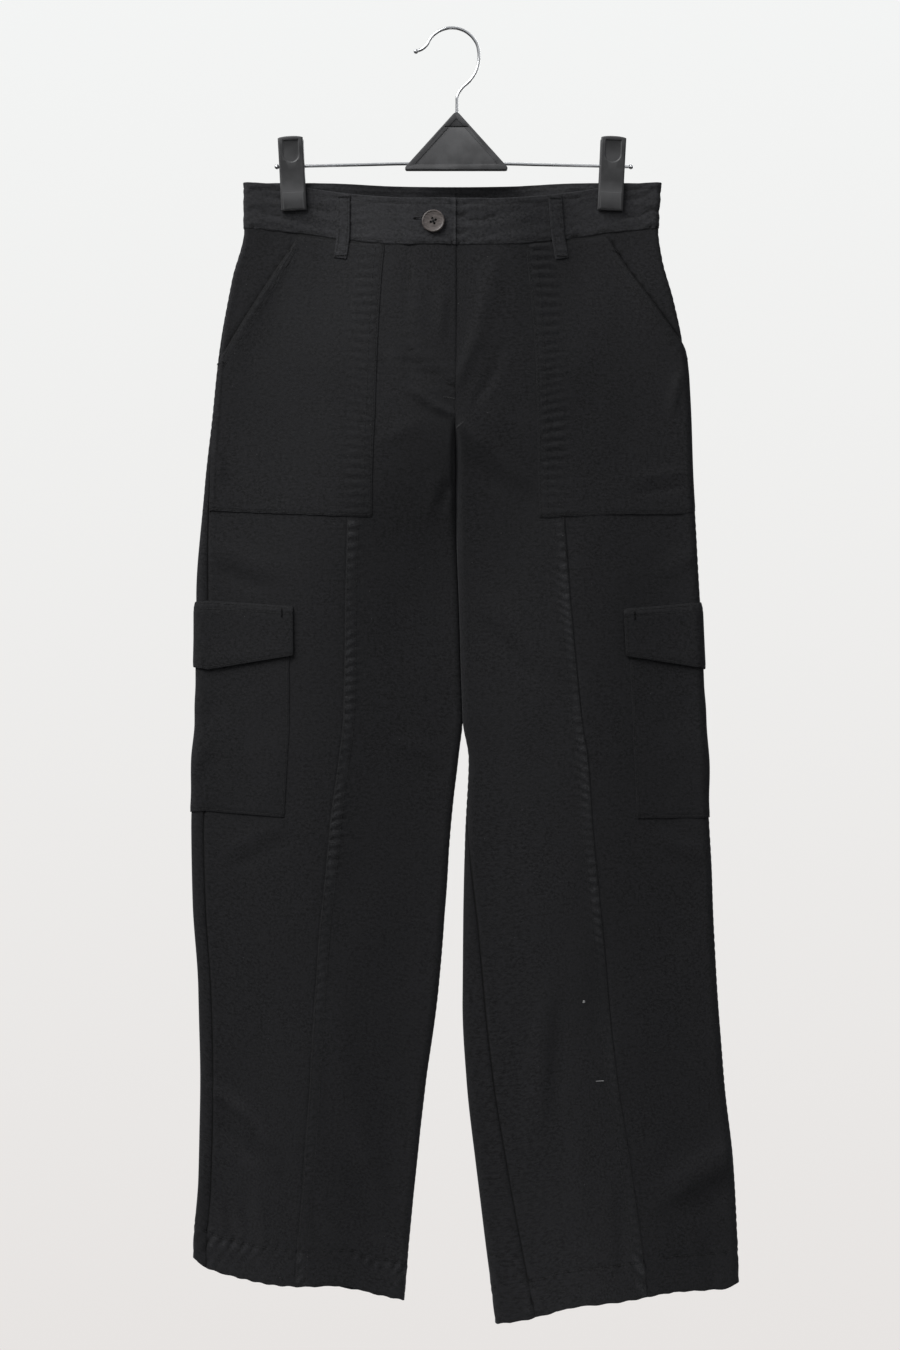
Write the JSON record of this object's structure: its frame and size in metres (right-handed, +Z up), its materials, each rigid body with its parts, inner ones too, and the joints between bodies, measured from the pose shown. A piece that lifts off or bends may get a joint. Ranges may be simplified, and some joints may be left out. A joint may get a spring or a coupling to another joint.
{
  "type": "cargo trousers on a clip hanger",
  "caption": "High-waisted wide-leg cargo trousers in black twill, hanging flat by the waistband from a clip hanger; both legs are open tubes.",
  "frame": {"origin": "the inner top of the hanger's hook, where a rail bears", "axes": "+Z up; the front of the trousers faces -Y and the wearer's left is at +X"},
  "size_m": [0.495, 0.0586, 1.1671],
  "materials": {
    "twill": "matte black cotton twill with a faint nap",
    "button": "grey-brown horn-like resin, satin",
    "wire": "polished plated wire",
    "hanger_plastic": "matte charcoal moulded plastic"
  },
  "bodies": {
    "root": {"waistband": "twill", "front_inner_right": "twill", "front_inner_left": "twill", "front_outer_right": "twill", "front_outer_left": "twill", "back_right": "twill", "back_left": "twill", "hip_pocket_right": "twill", "hip_pocket_left": "twill", "cargo_pocket_right": "twill", "cargo_pocket_left": "twill", "cargo_flap_right": "twill", "cargo_flap_left": "twill", "belt_loop_front_right": "twill", "belt_loop_front_left": "twill", "belt_loop_back_right": "twill", "belt_loop_back_left": "twill", "belt_loop_back_centre": "twill", "waist_button": "button", "hanger_hook": "wire", "hanger_bar": "wire", "hanger_body": "hanger_plastic", "clip_front_right": "hanger_plastic", "clip_back_right": "hanger_plastic", "clip_front_left": "hanger_plastic", "clip_back_left": "hanger_plastic"}
  },
  "joints": []
}
